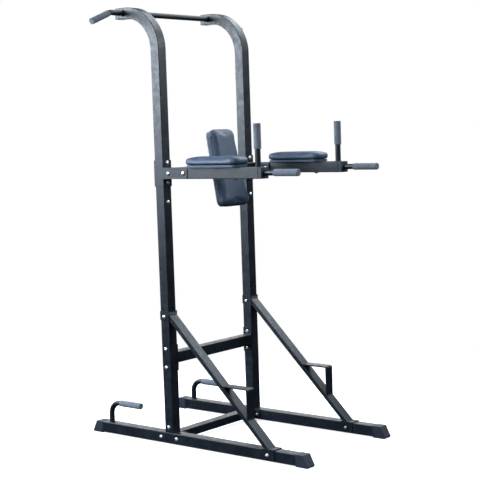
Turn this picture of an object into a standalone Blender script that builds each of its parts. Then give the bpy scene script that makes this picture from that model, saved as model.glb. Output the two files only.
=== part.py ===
"""Power tower: pull-up bar, dip arms, back rest, steps and push-up handles on one frame.

Metres, +Z up.  The user stands in front of the machine, on the -Y side, and leans back
towards +Y.  -X is the left side (_l) and +X the right side (_r).  The origin is on the
floor, in the middle of the machine's box.
"""

from math import atan2, cos, pi, radians, sin, tan

import bmesh
import bpy
from mathutils import Vector

# ---------------------------------------------------------------- driving sizes
OVERALL_HEIGHT = 2.000      # floor to the top of the hooked uprights
UPRIGHT_SPACING = 0.594     # centre to centre, left to right
TUBE = 0.050                # side of the square frame tube
WALL = 0.002                # wall of every tube
CORNER = 0.003              # outside corner radius of the square tube
INNER_CORNER = 0.001        # and inside it
ROD = 0.025                 # diameter of the round tubes
FIT = 0.0003                # gap between pieces that touch
SLIDE = 0.0004              # gap round a tube that slides inside or over another
PLATE = 0.003               # thickness of brackets
END_PLATE = 0.004           # thickness of the crossbars' end plates

RAIL_LENGTH = 1.154         # steel part of a floor rail
RAIL_CLEARANCE = 0.004      # under the rail: the sole of the foot caps
UPRIGHT_BACK = 0.1435       # uprights' centre, behind the middle of the rails
FOOT_TOP_REACH = 0.042      # foot cap beyond the steel, along its top edge
FOOT_SOLE_REACH = 0.066     # and along its sole
FOOT_PROUD = 0.001          # the cap stands this far proud of the steel
PLUG_DEPTH = 0.022          # how far the cap goes into the tube
PLUG_OVERLAP = 0.010        # how far a plug reaches back into its own cap
FOOT_NOSE_Z = 0.006         # height of the cap's foremost edge
FOOT_SOLE_CUT = 0.004       # its sole ends this far short of that edge
FOOT_EDGE = 0.002           # rounding of a foot cap
CAP_EDGE = 0.003            # and of the square end caps

STUB_HEIGHT = 0.062         # spigot on the rail that carries the upright
STUB_BOLT = 0.025           # bolt above the rail
FLOOR_BAR_HEIGHT = 0.038
FLOOR_PLATE_LENGTH = 0.130
FLOOR_PLATE_INSET = 0.002   # its lower edge, above the rail's underside

MID_BAR_Z = 0.400
MID_PLATE_HEIGHT = 0.120

BRACE_DEPTH = 0.020         # flat rectangular tube, as wide as the frame tube
BRACE_TOP_Z = 0.605         # where its upper face meets the upright
BRACE_FOOT = 0.583          # where its upper face meets the rail, ahead of the upright
BRACKET_HEIGHT = 0.041      # U-bracket round the upright
BRACKET_TOP_Z = 0.618
BRACE_BOLT_Z = 0.592
SADDLE_BACK = 0.038         # saddle on the rail, behind and ahead of BRACE_FOOT
SADDLE_FRONT = 0.027
SADDLE_DROP = 0.044
SADDLE_BOLT = 0.573         # bolt ahead of the upright

STEP_Z = 0.306              # top of the tread
STEP_REACH = 0.468          # front of the step, ahead of the upright
STEP_STRIP = 0.006
STEP_BEND = 0.010           # outside radius of the bend

ARM_Z = 1.245               # middle of the arm tubes, and of the sleeves
SLEEVE_HEIGHT = 0.118
JOINER_ABOVE = 0.100        # inner joiner tube, above and below the arm
JOINER_BELOW = 0.160
JOINER_BOLT_Z = 1.115
CHEEK_REACH = 0.171         # cheek plates, ahead of the upright
CHEEK_CHAMFER = 0.008
ARM_BOLTS = (0.059, 0.149)  # side bolts, ahead of the upright
ARM_REACH = 0.588           # front of the arm's end cap
ARM_CAP = 0.023
POST_SETBACK = 0.001        # upright handle's tube, behind the end cap
POST_GRIP_Z = 1.346         # lower edge of its grip
POST_GRIP_LENGTH = 0.109
POST_FOAM = 0.004           # thickness of its grip's foam
DIP_GRIP_START = 0.050      # dip bar's grip, ahead of the arm's front
DIP_GRIP_LENGTH = 0.127
DIP_FOAM = 0.003

PAD_BOARD = 0.010           # plywood under the cushions
PAD_SINK = 0.005            # boards are this much smaller than their cushion, all round
ARM_PAD_LENGTH = 0.302
ARM_PAD_WIDTH = 0.110
ARM_PAD_THICK = 0.035
ARM_PAD_CORNER = 0.032      # seen from above
CUSHION_EDGE = 0.009        # rolled edge of every cushion
ARM_PAD_BACK = 0.170        # rear end of the arm pad, ahead of the upright

BACK_BAR_HEIGHT = 0.050
BACK_BAR_DEPTH = 0.038
BACK_BAR_AHEAD = 0.072      # its middle, ahead of the upright
BACK_PLATE_LENGTH = 0.130
BACK_PLATE_INSET = 0.001    # shorter than the arm tube by this, above and below
BACK_LEAN = radians(12.3)   # the top leans back
BACK_PAD_HEIGHT = 0.364
BACK_PAD_TOP = 0.158        # widths
BACK_PAD_BOTTOM = 0.197
BACK_PAD_THICK = 0.040
BACK_PAD_RISE = 0.007       # the pad's middle above the arms' middle
BACK_PAD_AHEAD = 0.108      # back of its board ahead of the upright, at arm height
BACK_CORNER = 0.030
BACK_BRACKET_WIDTH = 0.090
BACK_BRACKET_HEIGHT = 0.100
EAR_INSET = 0.001           # the bracket's ears stop this far inside its plates' edges

HOOK_RADIUS = 0.175         # centre line of the bent top
HOOK_REACH = 0.210          # end of the steel behind the upright
HOOK_CAP = 0.028
HOOK_PLUG_CLEAR = 0.002     # from its plug to the pull-up bar
BAR_BEHIND = 0.186          # pull-up bar behind the upright
BAR_WIDTH = 1.045           # over the tips of the grips
BAR_BEND_X = 0.405          # where the ends turn down
BAR_DROOP = radians(21)
BAR_BEND_RADIUS = 0.060
BAR_FOAM = 0.0025
GRIP_END = 0.004            # closed end of each grip
GRIP_EDGE = 0.003           # its rounded rim

PUSH_BEHIND = 0.393         # push-up handle's post behind the upright
PUSH_RISE = 0.096           # middle of its grip above the rail
PUSH_BEND = 0.055
PUSH_REACH = 0.196          # front end of the grip, behind the upright
PUSH_GRIP_LENGTH = 0.134
PUSH_FOAM = 0.003

BOLT = 0.008
BOLT_HEAD = 0.0195
BOLT_DOME = 0.006
NUT = 0.015
NUT_HEIGHT = 0.007
THREAD_END = 0.002          # thread beyond the nut
BOLT_HOLE = BOLT + 2 * FIT

ROUND_STEPS = 16            # sides of the round tubes
BEND_STEPS = 7

# ---------------------------------------------------------------- derived places
HALF = TUBE / 2
RAIL_Z = RAIL_CLEARANCE + HALF
RAIL_TOP = RAIL_CLEARANCE + TUBE
UPRIGHT_Y = UPRIGHT_BACK
HOOK_Z = OVERALL_HEIGHT - HALF
SLEEVE_IN = HALF + SLIDE
SLEEVE_OUT = SLEEVE_IN + PLATE
ARM_FRONT = UPRIGHT_Y - ARM_REACH
ARM_STEEL_FRONT = ARM_FRONT + ARM_CAP
POST_Y = ARM_STEEL_FRONT + POST_SETBACK + ROD / 2
BAR_Y = UPRIGHT_Y + BAR_BEHIND
SIDES = (("l", -1), ("r", 1))

FRAME_BLACK = ((0.012, 0.015, 0.019), 0.42, 0.0)
BOLT_ZINC = ((0.62, 0.63, 0.64), 0.28, 1.0)
CAP_PLASTIC = ((0.030, 0.040, 0.050), 0.55, 0.0)
GRIP_FOAM = ((0.035, 0.037, 0.040), 0.90, 0.0)
PAD_VINYL = ((0.045, 0.060, 0.080), 0.50, 0.0)
PAD_PLYWOOD = ((0.030, 0.026, 0.022), 0.80, 0.0)


# ---------------------------------------------------------------- building blocks
def clear_scene():
    for old in list(bpy.data.objects):
        bpy.data.objects.remove(old, do_unlink=True)


def finish_material(name, finish):
    colour, roughness, metallic = finish
    material = bpy.data.materials.new(name)
    material.use_nodes = True
    shader = material.node_tree.nodes["Principled BSDF"]
    shader.inputs["Base Color"].default_value = (*colour, 1.0)
    shader.inputs["Roughness"].default_value = roughness
    shader.inputs["Metallic"].default_value = metallic
    return material


def place(name, rings_mesh, finish):
    """Makes an object from a bmesh, with its faces pointing out and round parts smooth."""
    bmesh.ops.recalc_face_normals(rings_mesh, faces=rings_mesh.faces)
    if rings_mesh.calc_volume(signed=True) < 0:
        bmesh.ops.reverse_faces(rings_mesh, faces=rings_mesh.faces)
    mesh = bpy.data.meshes.new(name)
    rings_mesh.to_mesh(mesh)
    rings_mesh.free()
    mesh.shade_smooth()
    mesh.set_sharp_from_angle(angle=radians(35))
    made = bpy.data.objects.new(name, mesh)
    bpy.context.scene.collection.objects.link(made)
    if finish is None:
        made.hide_render = True
        made.display_type = "WIRE"
    else:
        mesh.materials.append(finish_material(name, finish))
        made.parent = ROOT
    return made


def loop_faces(made, first, second):
    for i, corner in enumerate(first):
        j = (i + 1) % len(first)
        made.faces.new((corner, first[j], second[j], second[i]))


def sweep(name, frames, outer, inner, finish):
    """Runs a closed outline along frames of (centre, across, up); inner makes it a tube."""
    made = bmesh.new()

    def ring(frame, outline):
        centre, across, up = frame
        return [made.verts.new(centre + across * a + up * b) for a, b in outline]

    outside = [ring(frame, outer) for frame in frames]
    for first, second in zip(outside, outside[1:]):
        loop_faces(made, first, second)
    if inner is None:
        made.faces.new(outside[0])
        made.faces.new(outside[-1])
        return place(name, made, finish)
    inside = [ring(frame, inner) for frame in frames]
    for first, second in zip(inside, inside[1:]):
        loop_faces(made, first, second)
    loop_faces(made, outside[0], inside[0])
    loop_faces(made, outside[-1], inside[-1])
    return place(name, made, finish)


def rounded(half_wide, half_high, radius, steps=2):
    """A rectangle with round corners, anticlockwise."""
    outline = []
    corners = ((1, 1, 0), (-1, 1, 1), (-1, -1, 2), (1, -1, 3))
    for side, end, quarter in corners:
        for step in range(steps + 1):
            angle = (quarter + step / steps) * pi / 2
            outline.append((side * (half_wide - radius) + radius * cos(angle),
                            end * (half_high - radius) + radius * sin(angle)))
    return outline


def rectangle(half_wide, half_high):
    return [(half_wide, half_high), (-half_wide, half_high),
            (-half_wide, -half_high), (half_wide, -half_high)]


def circle(radius):
    turns = [2 * pi * (i + 0.5) / ROUND_STEPS for i in range(ROUND_STEPS)]
    return [(radius * cos(turn), radius * sin(turn)) for turn in turns]


def straight(start, end, across, up):
    return [(Vector(start), Vector(across), Vector(up)), (Vector(end), Vector(across), Vector(up))]


AXES = {"x": ((1, 0, 0), (0, 1, 0), (0, 0, 1)),
        "y": ((0, 1, 0), (0, 0, 1), (1, 0, 0)),
        "z": ((0, 0, 1), (1, 0, 0), (0, 1, 0))}


def bar(name, axis, start, end, outer, inner, finish):
    """A straight bar or tube from start to end; axis names its direction."""
    across, up = AXES[axis][1:]
    return sweep(name, straight(start, end, across, up), outer, inner, finish)


def block(name, low, high, finish):
    middle_y, middle_z = (low[1] + high[1]) / 2, (low[2] + high[2]) / 2
    outline = rectangle((high[1] - low[1]) / 2, (high[2] - low[2]) / 2)
    return bar(name, "x", (low[0], middle_y, middle_z), (high[0], middle_y, middle_z),
               outline, None, finish)


def side_profile(name, x_low, x_high, outline, finish):
    """A closed (y, z) outline, made solid from x_low to x_high."""
    frames = straight((x_low, 0, 0), (x_high, 0, 0), (0, 1, 0), (0, 0, 1))
    return sweep(name, frames, outline, None, finish)


def turned(name, base, direction, profile, finish):
    """Turns (radius, distance) points round an axis; the ends lie on the axis or close up."""
    along = Vector(direction).normalized()
    level = Vector((1, 0, 0)) if abs(along.y) > 0.5 else Vector((0, 1, 0))
    across = (level - along * level.dot(along)).normalized()
    up = along.cross(across)
    made = bmesh.new()
    rings = []
    for radius, distance in profile:
        centre = Vector(base) + along * distance
        if radius == 0:
            rings.append([made.verts.new(centre)])
        else:
            rings.append([made.verts.new(centre + across * a + up * b)
                          for a, b in circle(radius)])
    pairs = list(zip(rings, rings[1:]))
    if len(rings[0]) > 1:
        pairs.append((rings[-1], rings[0]))
    for first, second in pairs:
        if len(first) > 1 and len(second) > 1:
            loop_faces(made, first, second)
            continue
        fan, tip = (first, second[0]) if len(first) > 1 else (second, first[0])
        for i, corner in enumerate(fan):
            made.faces.new((corner, fan[(i + 1) % len(fan)], tip))
    return place(name, made, finish)


def combine(target, operation, tools):
    for tool in tools:
        change = target.modifiers.new(tool.name, "BOOLEAN")
        change.operation = operation
        change.object = tool
        change.solver = "EXACT"


def cut(target, *tools):
    combine(target, "DIFFERENCE", tools)


def join(target, *tools):
    combine(target, "UNION", tools)


def hole(name, centre, direction, diameter, length):
    """A round cutter, centred on a point."""
    along = Vector(direction).normalized()
    start = Vector(centre) - along * length / 2
    return turned(name, start, along,
                  [(0, 0), (diameter / 2, 0), (diameter / 2, length), (0, length)], None)


def bolt(name, start, direction, grip):
    """Dome-headed bolt and nut: the head's seat at start, grip long under the head."""
    neck = BOLT / 2
    head = BOLT_HEAD / 2
    nut = NUT / 2
    profile = [(0, -BOLT_DOME), (head * 0.55, -BOLT_DOME * 0.82), (head * 0.88, -BOLT_DOME * 0.45),
               (head, -FIT), (neck, -FIT), (neck, grip + FIT), (nut, grip + FIT),
               (nut, grip + NUT_HEIGHT), (neck, grip + NUT_HEIGHT),
               (0, grip + NUT_HEIGHT + THREAD_END)]
    return turned(name, start, direction, profile, BOLT_ZINC)


def closed_grip(name, base, direction, foam, length):
    """Foam sleeve with a round closed end, pushed over a round tube."""
    outside = ROD / 2 + foam
    inside = ROD / 2 + FIT
    profile = [(0, length - GRIP_END), (inside, length - GRIP_END), (inside, 0),
               (outside - GRIP_EDGE / 2, 0), (outside, GRIP_EDGE), (outside, length - GRIP_EDGE),
               (outside - GRIP_EDGE, length), (0, length)]
    return turned(name, base, direction, profile, GRIP_FOAM)


def bent_path(points, radius):
    """Frames along straight runs in one plane, with each corner turned at a radius."""
    points = [Vector(p) for p in points]
    normal = (points[1] - points[0]).cross(points[2] - points[1]).normalized()
    frames = []

    def add(centre, along):
        frames.append((centre, normal.cross(along), normal))

    add(points[0], (points[1] - points[0]).normalized())
    for before, corner, after in zip(points, points[1:], points[2:]):
        arriving = (corner - before).normalized()
        leaving = (after - corner).normalized()
        turn = arriving.angle(leaving)
        spin = 1 if arriving.cross(leaving).dot(normal) > 0 else -1
        inset = radius * tan(turn / 2)
        centre = corner - arriving * inset + normal.cross(arriving) * radius * spin
        for step in range(BEND_STEPS + 1):
            angle = turn * step / BEND_STEPS
            along = arriving * cos(angle) + normal.cross(arriving) * sin(angle) * spin
            add(centre - normal.cross(along) * radius * spin, along)
    add(points[-1], (points[-1] - points[-2]).normalized())
    return frames


SQUARE_OUT = rounded(HALF, HALF, CORNER)
SQUARE_IN = rounded(HALF - WALL, HALF - WALL, INNER_CORNER)
ROD_OUT = circle(ROD / 2)
ROD_IN = circle(ROD / 2 - WALL)


# ---------------------------------------------------------------- base
def rail(tag, side):
    x = side * UPRIGHT_SPACING / 2
    made = bar(f"floor_rail_{tag}", "y", (x, -RAIL_LENGTH / 2, RAIL_Z), (x, RAIL_LENGTH / 2, RAIL_Z),
               SQUARE_OUT, SQUARE_IN, FRAME_BLACK)
    spigot = HALF - WALL - SLIDE
    stub = bar(f"stub_{tag}", "z", (x, UPRIGHT_Y, RAIL_TOP - WALL / 2),
               (x, UPRIGHT_Y, RAIL_TOP + STUB_HEIGHT), rectangle(spigot, spigot),
               rectangle(spigot - WALL, spigot - WALL), None)
    join(made, stub)
    cut(made,
        hole(f"stub_bolt_hole_{tag}", (x, UPRIGHT_Y, RAIL_TOP + STUB_BOLT), (1, 0, 0), BOLT_HOLE, TUBE),
        hole(f"push_post_hole_{tag}", (x, UPRIGHT_Y + PUSH_BEHIND, RAIL_TOP), (0, 0, 1),
             ROD + 2 * FIT, TUBE / 2),
        hole(f"saddle_bolt_hole_{tag}", (x, UPRIGHT_Y - SADDLE_BOLT, RAIL_Z), (1, 0, 0),
             BOLT_HOLE, 2 * TUBE))


def foot_cap(tag, side, name, end):
    """Sole and slanted nose outside the tube, with a plug inside it; end is -1 in front."""
    x = side * UPRIGHT_SPACING / 2
    seam = end * (RAIL_LENGTH / 2 + FIT)
    top = RAIL_TOP + FOOT_PROUD
    half = HALF + FOOT_PROUD
    nose = [(seam, top), (seam + end * FOOT_TOP_REACH, top),
            (seam + end * FOOT_SOLE_REACH, FOOT_NOSE_Z),
            (seam + end * (FOOT_SOLE_REACH - FOOT_SOLE_CUT), 0.0), (seam, 0.0)]
    made = side_profile(f"foot_cap_{name}_{tag}", x - half, x + half, nose, CAP_PLASTIC)
    plug_half = HALF - WALL - SLIDE
    plug = bar(f"plug_{name}_{tag}", "y", (x, seam + end * PLUG_OVERLAP, RAIL_Z),
               (x, seam - end * PLUG_DEPTH, RAIL_Z), rectangle(plug_half, plug_half), None, None)
    join(made, plug)
    soften(made, FOOT_EDGE)


def soften(made, width):
    """Rounds a moulded or stamped piece's own edges before anything is joined to it."""
    bevel = made.modifiers.new("soft_edges", "BEVEL")
    bevel.width = width
    bevel.segments = 2
    bevel.limit_method = "ANGLE"
    bevel.angle_limit = radians(40)
    made.modifiers.move(len(made.modifiers) - 1, 0)


def crossbar(name, middle_y, middle_z, half_deep, half_high, end_x, plate_low, plate_high):
    """Rectangular tube with an end plate welded on each end; plates are (y, z) corners."""
    tube_end = end_x - END_PLATE / 2
    made = bar(name, "x", (-tube_end, middle_y, middle_z), (tube_end, middle_y, middle_z),
               rounded(half_deep, half_high, CORNER), None, FRAME_BLACK)
    plates = []
    for tag, side in SIDES:
        faces = sorted((side * end_x, side * (end_x - END_PLATE)))
        plates.append(block(f"{name}_plate_{tag}", (faces[0], *plate_low), (faces[1], *plate_high), None))
    join(made, *plates)
    core = bar(f"{name}_core", "x", (-end_x - WALL, middle_y, middle_z),
               (end_x + WALL, middle_y, middle_z), rectangle(half_deep - WALL, half_high - WALL),
               None, None)
    cut(made, core)
    return made


def base():
    inner_face = UPRIGHT_SPACING / 2 - HALF - FIT
    crossbar("floor_crossbar", UPRIGHT_Y, RAIL_TOP - FLOOR_BAR_HEIGHT / 2, HALF,
             FLOOR_BAR_HEIGHT / 2, inner_face,
             (UPRIGHT_Y - FLOOR_PLATE_LENGTH / 2, RAIL_CLEARANCE + FLOOR_PLATE_INSET),
             (UPRIGHT_Y + FLOOR_PLATE_LENGTH / 2, RAIL_TOP))
    crossbar("mid_crossbar", UPRIGHT_Y, MID_BAR_Z, HALF, HALF, inner_face,
             (UPRIGHT_Y - HALF, MID_BAR_Z - MID_PLATE_HEIGHT / 2),
             (UPRIGHT_Y + HALF, MID_BAR_Z + MID_PLATE_HEIGHT / 2))
    for tag, side in SIDES:
        rail(tag, side)
        foot_cap(tag, side, "front", -1)
        foot_cap(tag, side, "rear", 1)


# ---------------------------------------------------------------- uprights
def hole_y(name, x, z, length=2 * TUBE):
    return hole(name, (x, UPRIGHT_Y, z), (0, 1, 0), BOLT_HOLE, length)


def uprights(tag, side):
    x = side * UPRIGHT_SPACING / 2
    lower = bar(f"lower_upright_{tag}", "z", (x, UPRIGHT_Y, RAIL_TOP + FIT),
                (x, UPRIGHT_Y, ARM_Z - FIT), SQUARE_OUT, SQUARE_IN, FRAME_BLACK)
    cut(lower,
        hole(f"foot_bolt_hole_{tag}", (x, UPRIGHT_Y, RAIL_TOP + STUB_BOLT), (1, 0, 0), BOLT_HOLE, 2 * TUBE),
        hole(f"brace_bolt_hole_{tag}", (x, UPRIGHT_Y, BRACE_BOLT_Z), (1, 0, 0), BOLT_HOLE, 2 * TUBE),
        hole_y(f"joiner_hole_lower_{tag}", x, JOINER_BOLT_Z))
    path = bent_path([(x, UPRIGHT_Y, ARM_Z + FIT), (x, UPRIGHT_Y, HOOK_Z),
                      (x, UPRIGHT_Y + HOOK_REACH, HOOK_Z)], HOOK_RADIUS)
    upper = sweep(f"upper_upright_{tag}", path, SQUARE_OUT, SQUARE_IN, FRAME_BLACK)
    cut(upper, hole(f"pull_up_hole_{tag}", (x, BAR_Y, HOOK_Z), (1, 0, 0), ROD + 2 * FIT, 2 * TUBE))

    spigot = HALF - WALL - SLIDE
    joiner = bar(f"upright_joiner_{tag}", "z", (x, UPRIGHT_Y, ARM_Z - JOINER_BELOW),
                 (x, UPRIGHT_Y, ARM_Z + JOINER_ABOVE), rectangle(spigot, spigot),
                 rectangle(spigot - WALL, spigot - WALL), FRAME_BLACK)
    cut(joiner, hole_y(f"joiner_hole_inner_{tag}", x, JOINER_BOLT_Z))

    cap_start = UPRIGHT_Y + HOOK_REACH + FIT
    cap = bar(f"upright_end_cap_{tag}", "y", (x, cap_start, HOOK_Z), (x, cap_start + HOOK_CAP, HOOK_Z),
              rectangle(HALF, HALF), None, CAP_PLASTIC)
    plug_reach = HOOK_REACH - BAR_BEHIND - ROD / 2 - HOOK_PLUG_CLEAR
    plug = bar(f"hook_plug_{tag}", "y", (x, cap_start + HOOK_CAP / 2, HOOK_Z),
               (x, cap_start - plug_reach, HOOK_Z), rectangle(spigot, spigot), None, None)
    join(cap, plug)
    soften(cap, CAP_EDGE)


# ---------------------------------------------------------------- braces and steps
def brace_line(offset):
    """(y, z) functions of the brace's upper face, moved down square to it by offset."""
    start = Vector((UPRIGHT_Y - HALF, BRACE_TOP_Z))
    end = Vector((UPRIGHT_Y - BRACE_FOOT, RAIL_TOP))
    along = (end - start).normalized()
    down = Vector((-along.y, along.x))
    if down.y > 0:
        down = -down
    origin = start + down * offset

    def at_y(y):
        return origin.y + (y - origin.x) * along.y / along.x

    def at_z(z):
        return origin.x + (z - origin.y) * along.x / along.y

    return at_y, at_z


def brace(tag, side):
    x = side * UPRIGHT_SPACING / 2
    face = UPRIGHT_Y - SLEEVE_OUT
    seat = RAIL_TOP + SLIDE + PLATE
    upper, upper_z = brace_line(0)
    lower, lower_z = brace_line(BRACE_DEPTH)
    outline = [(face + PLATE / 2, upper(face + PLATE / 2)), (upper_z(seat - PLATE / 2), seat - PLATE / 2),
               (lower_z(seat - PLATE / 2), seat - PLATE / 2), (face + PLATE / 2, lower(face + PLATE / 2))]
    made = side_profile(f"brace_{tag}", x - HALF, x + HALF, outline, FRAME_BLACK)
    soften(made, CORNER / 2)

    bracket_low = BRACKET_TOP_Z - BRACKET_HEIGHT
    bracket_back = UPRIGHT_Y + HALF
    web = block(f"brace_web_{tag}", (x - SLEEVE_OUT, face, bracket_low),
                (x + SLEEVE_OUT, bracket_back, BRACKET_TOP_Z), None)
    saddle_front = UPRIGHT_Y - BRACE_FOOT - SADDLE_FRONT
    saddle_back = UPRIGHT_Y - BRACE_FOOT + SADDLE_BACK
    saddle = block(f"brace_saddle_{tag}", (x - SLEEVE_OUT, saddle_front, seat - PLATE - SADDLE_DROP),
                   (x + SLEEVE_OUT, saddle_back, seat), None)
    join(made, web, saddle)

    inside, inside_z = brace_line(WALL)
    under, under_z = brace_line(BRACE_DEPTH - WALL)
    beyond = RAIL_Z
    hollow = side_profile(f"brace_hollow_{tag}", x - HALF + WALL, x + HALF - WALL,
                          [(face, inside(face)), (inside_z(beyond), beyond),
                           (under_z(beyond), beyond), (face, under(face))], None)
    upright_room = block(f"upright_room_{tag}", (x - SLEEVE_IN, face + PLATE, bracket_low - PLATE),
                         (x + SLEEVE_IN, bracket_back + PLATE, BRACKET_TOP_Z + PLATE), None)
    rail_room = block(f"rail_room_{tag}", (x - SLEEVE_IN, saddle_front - PLATE, 0),
                      (x + SLEEVE_IN, saddle_back + PLATE, seat - PLATE), None)
    cut(made, hollow, upright_room, rail_room,
        hole(f"bracket_hole_{tag}", (x, UPRIGHT_Y, BRACE_BOLT_Z), (1, 0, 0), BOLT_HOLE, 2 * TUBE),
        hole(f"saddle_hole_{tag}", (x, UPRIGHT_Y - SADDLE_BOLT, RAIL_Z), (1, 0, 0), BOLT_HOLE, 2 * TUBE))


def step(tag, side):
    """Bent strip: a level tread, a round front corner, and a riser down to the brace."""
    x = side * UPRIGHT_SPACING / 2
    front = UPRIGHT_Y - STEP_REACH
    surface, surface_z = brace_line(-FIT)
    under_z = STEP_Z - STEP_STRIP
    behind = front + STEP_STRIP
    outer_centre = (front + STEP_BEND, STEP_Z - STEP_BEND)
    inner_radius = STEP_BEND - STEP_STRIP
    outline = [(surface_z(STEP_Z), STEP_Z)]
    for i in range(5):
        angle = pi / 2 * (1 + i / 4)
        outline.append((outer_centre[0] + STEP_BEND * cos(angle), outer_centre[1] + STEP_BEND * sin(angle)))
    outline += [(front, surface(front)), (behind, surface(behind))]
    for i in range(3):
        angle = pi / 2 * (2 - i / 2)
        outline.append((outer_centre[0] + inner_radius * cos(angle),
                        outer_centre[1] + inner_radius * sin(angle)))
    outline.append((surface_z(under_z), under_z))
    side_profile(f"step_{tag}", x - HALF, x + HALF, outline, FRAME_BLACK)


# ---------------------------------------------------------------- arms
def arm(tag, side):
    x = side * UPRIGHT_SPACING / 2
    sleeve = bar(f"arm_bracket_{tag}", "z", (x, UPRIGHT_Y, ARM_Z - SLEEVE_HEIGHT / 2),
                 (x, UPRIGHT_Y, ARM_Z + SLEEVE_HEIGHT / 2), rounded(SLEEVE_OUT, SLEEVE_OUT, CORNER),
                 rounded(SLEEVE_IN, SLEEVE_IN, INNER_CORNER), FRAME_BLACK)
    cheeks = []
    for name, face in (("outer", side), ("inner", -side)):
        faces = sorted((x + face * SLEEVE_IN, x + face * SLEEVE_OUT))
        root, front = UPRIGHT_Y - SLEEVE_IN, UPRIGHT_Y - CHEEK_REACH
        outline = [(root, ARM_Z + HALF), (front + CHEEK_CHAMFER, ARM_Z + HALF),
                   (front, ARM_Z + HALF - CHEEK_CHAMFER), (front, ARM_Z - HALF + CHEEK_CHAMFER),
                   (front + CHEEK_CHAMFER, ARM_Z - HALF), (root, ARM_Z - HALF)]
        cheeks.append(side_profile(f"cheek_{name}_{tag}", faces[0], faces[1], outline, None))
    join(sleeve, *cheeks)

    tube_back = UPRIGHT_Y - SLEEVE_OUT - FIT
    made = bar(f"arm_tube_{tag}", "y", (x, ARM_STEEL_FRONT, ARM_Z), (x, tube_back, ARM_Z),
               SQUARE_OUT, SQUARE_IN, FRAME_BLACK)
    cut(made, hole(f"post_hole_{tag}", (x, POST_Y, ARM_Z + HALF), (0, 0, 1), ROD + 2 * FIT, HALF))

    cap = bar(f"arm_end_cap_{tag}", "y", (x, ARM_FRONT, ARM_Z), (x, ARM_STEEL_FRONT - FIT, ARM_Z),
              rectangle(HALF, HALF), None, CAP_PLASTIC)
    soften(cap, CAP_EDGE)
    cut(cap, hole(f"dip_hole_{tag}", (x, ARM_FRONT, ARM_Z), (0, 1, 0), ROD + 2 * FIT, 4 * ARM_CAP))

    bar(f"handle_post_{tag}", "z", (x, POST_Y, ARM_Z - HALF + WALL + FIT),
        (x, POST_Y, POST_GRIP_Z + POST_GRIP_LENGTH - GRIP_END - FIT), ROD_OUT, ROD_IN, FRAME_BLACK)
    closed_grip(f"post_grip_{tag}", (x, POST_Y, POST_GRIP_Z), (0, 0, 1), POST_FOAM, POST_GRIP_LENGTH)

    grip_start = ARM_FRONT - DIP_GRIP_START
    bar(f"dip_bar_{tag}", "y", (x, grip_start - DIP_GRIP_LENGTH + GRIP_END + FIT, ARM_Z),
        (x, POST_Y - ROD / 2 - FIT, ARM_Z), ROD_OUT, ROD_IN, FRAME_BLACK)
    closed_grip(f"dip_grip_{tag}", (x, grip_start, ARM_Z), (0, -1, 0), DIP_FOAM, DIP_GRIP_LENGTH)

    pad_back = UPRIGHT_Y - ARM_PAD_BACK
    board_z = ARM_Z + HALF + FIT
    middle_y = pad_back - ARM_PAD_LENGTH / 2
    bar(f"arm_pad_board_{tag}", "z", (x, middle_y, board_z), (x, middle_y, board_z + PAD_BOARD),
        rounded(ARM_PAD_WIDTH / 2 - PAD_SINK, ARM_PAD_LENGTH / 2 - PAD_SINK,
                ARM_PAD_CORNER - PAD_SINK, 4), None, PAD_PLYWOOD)
    cushion_z = board_z + PAD_BOARD + FIT
    pad = bar(f"arm_pad_{tag}", "z", (x, middle_y, cushion_z), (x, middle_y, cushion_z + ARM_PAD_THICK),
              rounded(ARM_PAD_WIDTH / 2, ARM_PAD_LENGTH / 2, ARM_PAD_CORNER, 5), None, PAD_VINYL)
    soften(pad, CUSHION_EDGE)


# ---------------------------------------------------------------- back rest
def leaning(offset, rise):
    """Point of the leaning plane: offset ahead of the board's back, rise along the lean."""
    ahead = Vector((0, -cos(BACK_LEAN), sin(BACK_LEAN)))
    upward = Vector((0, sin(BACK_LEAN), cos(BACK_LEAN)))
    return Vector((0, UPRIGHT_Y - BACK_PAD_AHEAD, ARM_Z)) + ahead * offset + upward * rise


def tapered(top, bottom, low, high, radius, steps):
    """Upright outline, narrower at the top, with round corners: (x, along the lean)."""
    corners = [Vector((top / 2, high)), Vector((-top / 2, high)),
               Vector((-bottom / 2, low)), Vector((bottom / 2, low))]
    outline = []
    for i, corner in enumerate(corners):
        back = (corners[i - 1] - corner).normalized()
        on = (corners[(i + 1) % 4] - corner).normalized()
        half_angle = back.angle(on) / 2
        middle = corner + (back + on).normalized() * radius / sin(half_angle)
        first = corner + back * radius / tan(half_angle) - middle
        start = atan2(first.y, first.x)
        for j in range(steps + 1):
            angle = start + (pi - 2 * half_angle) * j / steps
            outline.append((middle.x + radius * cos(angle), middle.y + radius * sin(angle)))
    return outline


def leaning_slab(name, outline, back, front, finish):
    """The (x, rise) outline made solid between two planes of the lean."""
    across = Vector((1, 0, 0))
    upward = leaning(0, 1) - leaning(0, 0)
    frames = [(leaning(back, 0), across, upward), (leaning(front, 0), across, upward)]
    return sweep(name, frames, outline, None, finish)


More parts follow.
